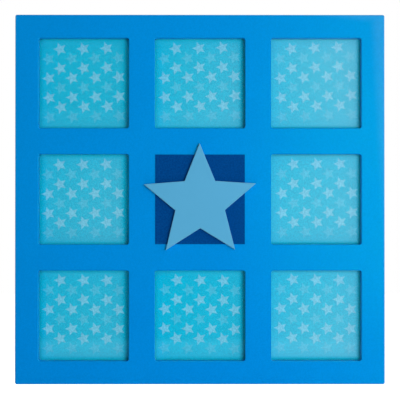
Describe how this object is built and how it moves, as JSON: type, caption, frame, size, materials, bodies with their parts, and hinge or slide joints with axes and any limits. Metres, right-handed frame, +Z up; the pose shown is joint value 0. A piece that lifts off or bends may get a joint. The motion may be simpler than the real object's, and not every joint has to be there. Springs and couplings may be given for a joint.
{
  "type": "collage photo frame",
  "caption": "Square wall-hung collage photo frame: a lacquered board with glazed windows over star-printed inserts round a raised star, closed behind by boards and turn buttons.",
  "frame": {"origin": "middle of the frame, on the plane of the wall that its pads rest against", "axes": "+X to the viewer's right, +Y into the wall, +Z up; the face looks along -Y"},
  "size_m": [0.4, 0.024, 0.4],
  "materials": {
    "board_lacquer": "satin blue lacquer on fibreboard",
    "square_film": "matt dark blue film",
    "star_lacquer": "satin light blue lacquer on fibreboard",
    "glass": "clear float glass",
    "star_print": "turquoise print with pale stars",
    "hardboard": "bare brown hardboard",
    "button_steel": "zinc-plated sheet",
    "plate_steel": "zinc-plated sheet",
    "screw_steel": "yellow zinc plating",
    "pad_rubber": "soft dark rubber"
  },
  "bodies": {
    "frame": {"face_board": "board_lacquer", "centre_square": "square_film", "star": "star_lacquer", "glass_top_left": "glass", "print_top_left": "star_print", "backing_top_left": "hardboard", "glass_top_centre": "glass", "print_top_centre": "star_print", "backing_top_centre": "hardboard", "glass_top_right": "glass", "print_top_right": "star_print", "backing_top_right": "hardboard", "glass_middle_left": "glass", "print_middle_left": "star_print", "backing_middle_left": "hardboard", "glass_middle_right": "glass", "print_middle_right": "star_print", "backing_middle_right": "hardboard", "glass_bottom_left": "glass", "print_bottom_left": "star_print", "backing_bottom_left": "hardboard", "glass_bottom_centre": "glass", "print_bottom_centre": "star_print", "backing_bottom_centre": "hardboard", "glass_bottom_right": "glass", "print_bottom_right": "star_print", "backing_bottom_right": "hardboard", "button_screws": "screw_steel", "hanger_screws": "screw_steel", "hanger_plate_left": "plate_steel", "hanger_plate_right": "plate_steel", "wall_pad_top_left": "pad_rubber", "wall_pad_top_right": "pad_rubber", "wall_pad_bottom_left": "pad_rubber", "wall_pad_bottom_right": "pad_rubber"},
    "button_top_1": {"turn_button_top_1": "button_steel"},
    "button_bottom_1": {"turn_button_bottom_1": "button_steel"},
    "button_left_1": {"turn_button_left_1": "button_steel"},
    "button_right_1": {"turn_button_right_1": "button_steel"},
    "button_top_2": {"turn_button_top_2": "button_steel"},
    "button_bottom_2": {"turn_button_bottom_2": "button_steel"},
    "button_left_2": {"turn_button_left_2": "button_steel"},
    "button_right_2": {"turn_button_right_2": "button_steel"}
  },
  "joints": [
    {"name": "turn_top_1", "type": "hinge", "parent": "frame", "child": "button_top_1", "pos_m": [-0.063, -0.0036, 0.126], "axis": [0, 1, 0], "range_deg": [-90, 90]},
    {"name": "turn_bottom_1", "type": "hinge", "parent": "frame", "child": "button_bottom_1", "pos_m": [-0.063, -0.0036, -0.126], "axis": [0, 1, 0], "range_deg": [-90, 90]},
    {"name": "turn_left_1", "type": "hinge", "parent": "frame", "child": "button_left_1", "pos_m": [-0.126, -0.0036, 0.063], "axis": [0, 1, 0], "range_deg": [-90, 90]},
    {"name": "turn_right_1", "type": "hinge", "parent": "frame", "child": "button_right_1", "pos_m": [0.126, -0.0036, 0.063], "axis": [0, 1, 0], "range_deg": [-90, 90]},
    {"name": "turn_top_2", "type": "hinge", "parent": "frame", "child": "button_top_2", "pos_m": [0.063, -0.0036, 0.126], "axis": [0, 1, 0], "range_deg": [-90, 90]},
    {"name": "turn_bottom_2", "type": "hinge", "parent": "frame", "child": "button_bottom_2", "pos_m": [0.063, -0.0036, -0.126], "axis": [0, 1, 0], "range_deg": [-90, 90]},
    {"name": "turn_left_2", "type": "hinge", "parent": "frame", "child": "button_left_2", "pos_m": [-0.126, -0.0036, -0.063], "axis": [0, 1, 0], "range_deg": [-90, 90]},
    {"name": "turn_right_2", "type": "hinge", "parent": "frame", "child": "button_right_2", "pos_m": [0.126, -0.0036, -0.063], "axis": [0, 1, 0], "range_deg": [-90, 90]}
  ]
}
